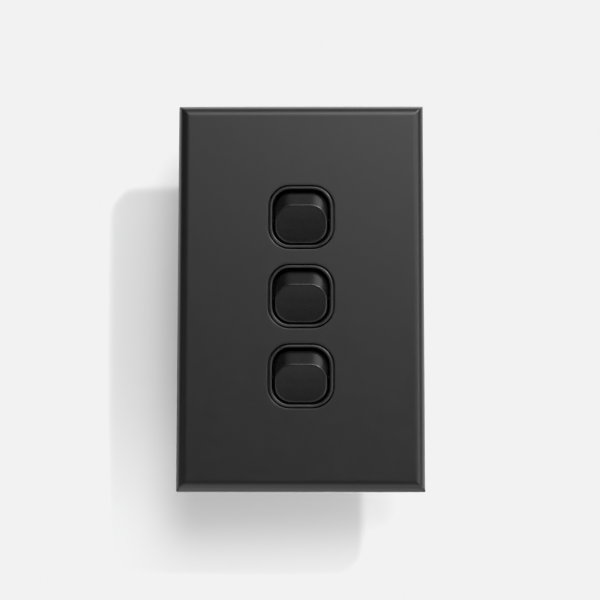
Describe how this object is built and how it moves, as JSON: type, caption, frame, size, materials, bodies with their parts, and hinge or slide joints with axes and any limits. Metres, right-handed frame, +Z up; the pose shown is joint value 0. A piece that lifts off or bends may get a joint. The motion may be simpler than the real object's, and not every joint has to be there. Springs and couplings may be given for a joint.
{
  "type": "rocker light switch with wall plate cover",
  "caption": "Slim black wall plate that pulls off a grid plate carrying rocker light switches with brass terminals behind.",
  "frame": {"origin": "middle of the plate on the wall plane that the plate and grid plate rest on", "axes": "+Z up, -Y out of the wall towards the user, +X to the right as the switch is faced; the mechanisms reach into the wall at +Y"},
  "size_m": [0.0746, 0.0341, 0.117],
  "materials": {
    "cover_black": "fine matt, eased edges",
    "bezel_black": "satin",
    "rocker_black": "satin",
    "grid_black": "moulded matt",
    "housing_black": "moulded matt",
    "plunger_nylon": "natural nylon",
    "spring_steel": "drawn wire",
    "contact_copper": "rolled copper alloy",
    "terminal_brass": "turned",
    "screw_steel": "zinc plated"
  },
  "bodies": {
    "base": {"grid_plate": "grid_black", "mounting_screw_top": "screw_steel", "mounting_screw_bottom": "screw_steel", "bezel_1": "bezel_black", "housing_1": "housing_black", "terminal_1_1": "terminal_brass", "terminal_1_screw_1": "screw_steel", "terminal_2_1": "terminal_brass", "terminal_2_screw_1": "screw_steel", "terminal_common_1": "terminal_brass", "terminal_common_screw_1": "screw_steel", "terminal_loop_1": "terminal_brass", "terminal_loop_screw_1": "screw_steel", "bezel_2": "bezel_black", "housing_2": "housing_black", "terminal_1_2": "terminal_brass", "terminal_1_screw_2": "screw_steel", "terminal_2_2": "terminal_brass", "terminal_2_screw_2": "screw_steel", "terminal_common_2": "terminal_brass", "terminal_common_screw_2": "screw_steel", "terminal_loop_2": "terminal_brass", "terminal_loop_screw_2": "screw_steel", "bezel_3": "bezel_black", "housing_3": "housing_black", "terminal_1_3": "terminal_brass", "terminal_1_screw_3": "screw_steel", "terminal_2_3": "terminal_brass", "terminal_2_screw_3": "screw_steel", "terminal_common_3": "terminal_brass", "terminal_common_screw_3": "screw_steel", "terminal_loop_3": "terminal_brass", "terminal_loop_screw_3": "screw_steel"},
    "cover": {"cover_plate": "cover_black"},
    "rocker_1": {"rocker_1": "rocker_black", "plunger_spring_1": "spring_steel"},
    "plunger_1": {"plunger_1": "plunger_nylon"},
    "contact_arm_1": {"contact_arm_1": "contact_copper"},
    "rocker_2": {"rocker_2": "rocker_black", "plunger_spring_2": "spring_steel"},
    "plunger_2": {"plunger_2": "plunger_nylon"},
    "contact_arm_2": {"contact_arm_2": "contact_copper"},
    "rocker_3": {"rocker_3": "rocker_black", "plunger_spring_3": "spring_steel"},
    "plunger_3": {"plunger_3": "plunger_nylon"},
    "contact_arm_3": {"contact_arm_3": "contact_copper"}
  },
  "joints": [
    {"name": "cover_pull", "type": "slide", "parent": "base", "child": "cover", "axis": [0, -1, 0], "range_m": [0, 0.03]},
    {"name": "rocker_1_tilt", "type": "hinge", "parent": "base", "child": "rocker_1", "pos_m": [0, -0.001, 0.024], "axis": [-1, 0, 0], "range_deg": [0, 28]},
    {"name": "contact_arm_1_rock", "type": "hinge", "parent": "base", "child": "contact_arm_1", "pos_m": [0, 0.0047, 0.024], "axis": [1, 0, 0], "range_deg": [0, 16]},
    {"name": "plunger_1_slide", "type": "slide", "parent": "rocker_1", "child": "plunger_1", "axis": [0, -0.9703, -0.2419], "range_m": [0, 0.0003], "stiffness_N_per_m": 800, "springref_m": -0.0025},
    {"name": "rocker_2_tilt", "type": "hinge", "parent": "base", "child": "rocker_2", "pos_m": [0, -0.001, 0], "axis": [-1, 0, 0], "range_deg": [0, 28]},
    {"name": "contact_arm_2_rock", "type": "hinge", "parent": "base", "child": "contact_arm_2", "pos_m": [0, 0.0047, 0], "axis": [1, 0, 0], "range_deg": [0, 16]},
    {"name": "plunger_2_slide", "type": "slide", "parent": "rocker_2", "child": "plunger_2", "axis": [0, -0.9703, -0.2419], "range_m": [0, 0.0003], "stiffness_N_per_m": 800, "springref_m": -0.0025},
    {"name": "rocker_3_tilt", "type": "hinge", "parent": "base", "child": "rocker_3", "pos_m": [0, -0.001, -0.024], "axis": [-1, 0, 0], "range_deg": [0, 28]},
    {"name": "contact_arm_3_rock", "type": "hinge", "parent": "base", "child": "contact_arm_3", "pos_m": [0, 0.0047, -0.024], "axis": [1, 0, 0], "range_deg": [0, 16]},
    {"name": "plunger_3_slide", "type": "slide", "parent": "rocker_3", "child": "plunger_3", "axis": [0, -0.9703, -0.2419], "range_m": [0, 0.0003], "stiffness_N_per_m": 800, "springref_m": -0.0025}
  ],
  "couplings": [
    {"joint": "contact_arm_1_rock", "follows": "rocker_1_tilt", "ratio": 0.57143},
    {"joint": "contact_arm_2_rock", "follows": "rocker_2_tilt", "ratio": 0.57143},
    {"joint": "contact_arm_3_rock", "follows": "rocker_3_tilt", "ratio": 0.57143}
  ]
}
